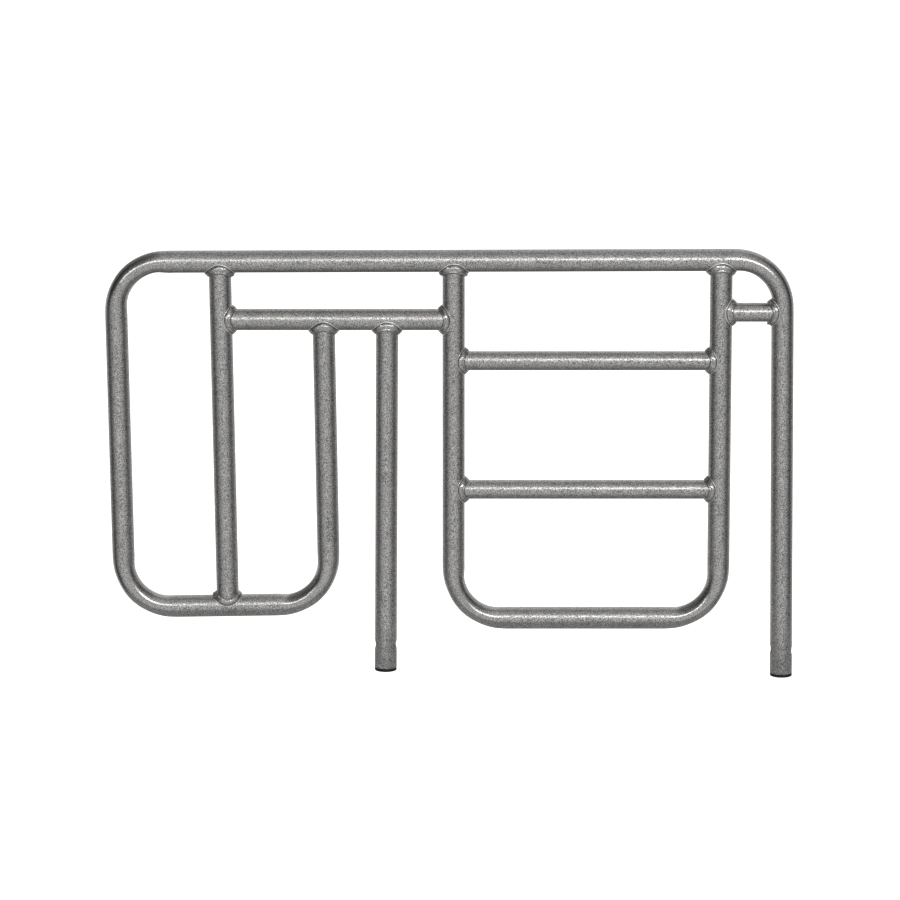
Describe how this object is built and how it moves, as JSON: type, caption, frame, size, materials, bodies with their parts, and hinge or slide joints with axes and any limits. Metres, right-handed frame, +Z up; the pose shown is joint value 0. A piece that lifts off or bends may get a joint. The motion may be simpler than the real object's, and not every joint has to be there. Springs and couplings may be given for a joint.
{
  "type": "bed assist rail",
  "caption": "Flat welded frame of bent round steel tube: one top rail over a tall grab loop and a ladder panel with rungs, on plug-ended legs that drop into sockets on a bed.",
  "frame": {"origin": "centre of the long leg's end face, on the underside of its plug", "axes": "+X along the rail from the grab loop towards the long leg, +Z up the legs, -Y is the front"},
  "size_m": [0.6884, 0.0272, 0.4345],
  "materials": {
    "vein_coated_tube": "silver vein powder coat, semi-gloss, finely mottled",
    "coated_weld": "rippled weld bead under glossier silver powder coat",
    "black_plug": "moulded black polyethylene, satin"
  },
  "bodies": {
    "root": {"main_frame_tube": "vein_coated_tube", "grab_loop_inner_post": "vein_coated_tube", "crossbar_tube": "vein_coated_tube", "short_leg_tube": "vein_coated_tube", "ladder_u_tube": "vein_coated_tube", "upper_rung_tube": "vein_coated_tube", "lower_rung_tube": "vein_coated_tube", "corner_spacer_tube": "vein_coated_tube", "weld_inner_post_to_top_rail": "coated_weld", "weld_inner_post_to_loop_bottom": "coated_weld", "weld_crossbar_to_inner_post": "coated_weld", "weld_crossbar_to_ladder": "coated_weld", "weld_loop_post_to_crossbar": "coated_weld", "weld_short_leg_to_crossbar": "coated_weld", "weld_ladder_left_to_top_rail": "coated_weld", "weld_ladder_right_to_top_rail": "coated_weld", "weld_upper_rung_left": "coated_weld", "weld_upper_rung_right": "coated_weld", "weld_lower_rung_left": "coated_weld", "weld_lower_rung_right": "coated_weld", "weld_spacer_to_ladder": "coated_weld", "weld_spacer_to_long_leg": "coated_weld", "long_leg_end_plug": "black_plug", "short_leg_end_plug": "black_plug"}
  },
  "joints": []
}
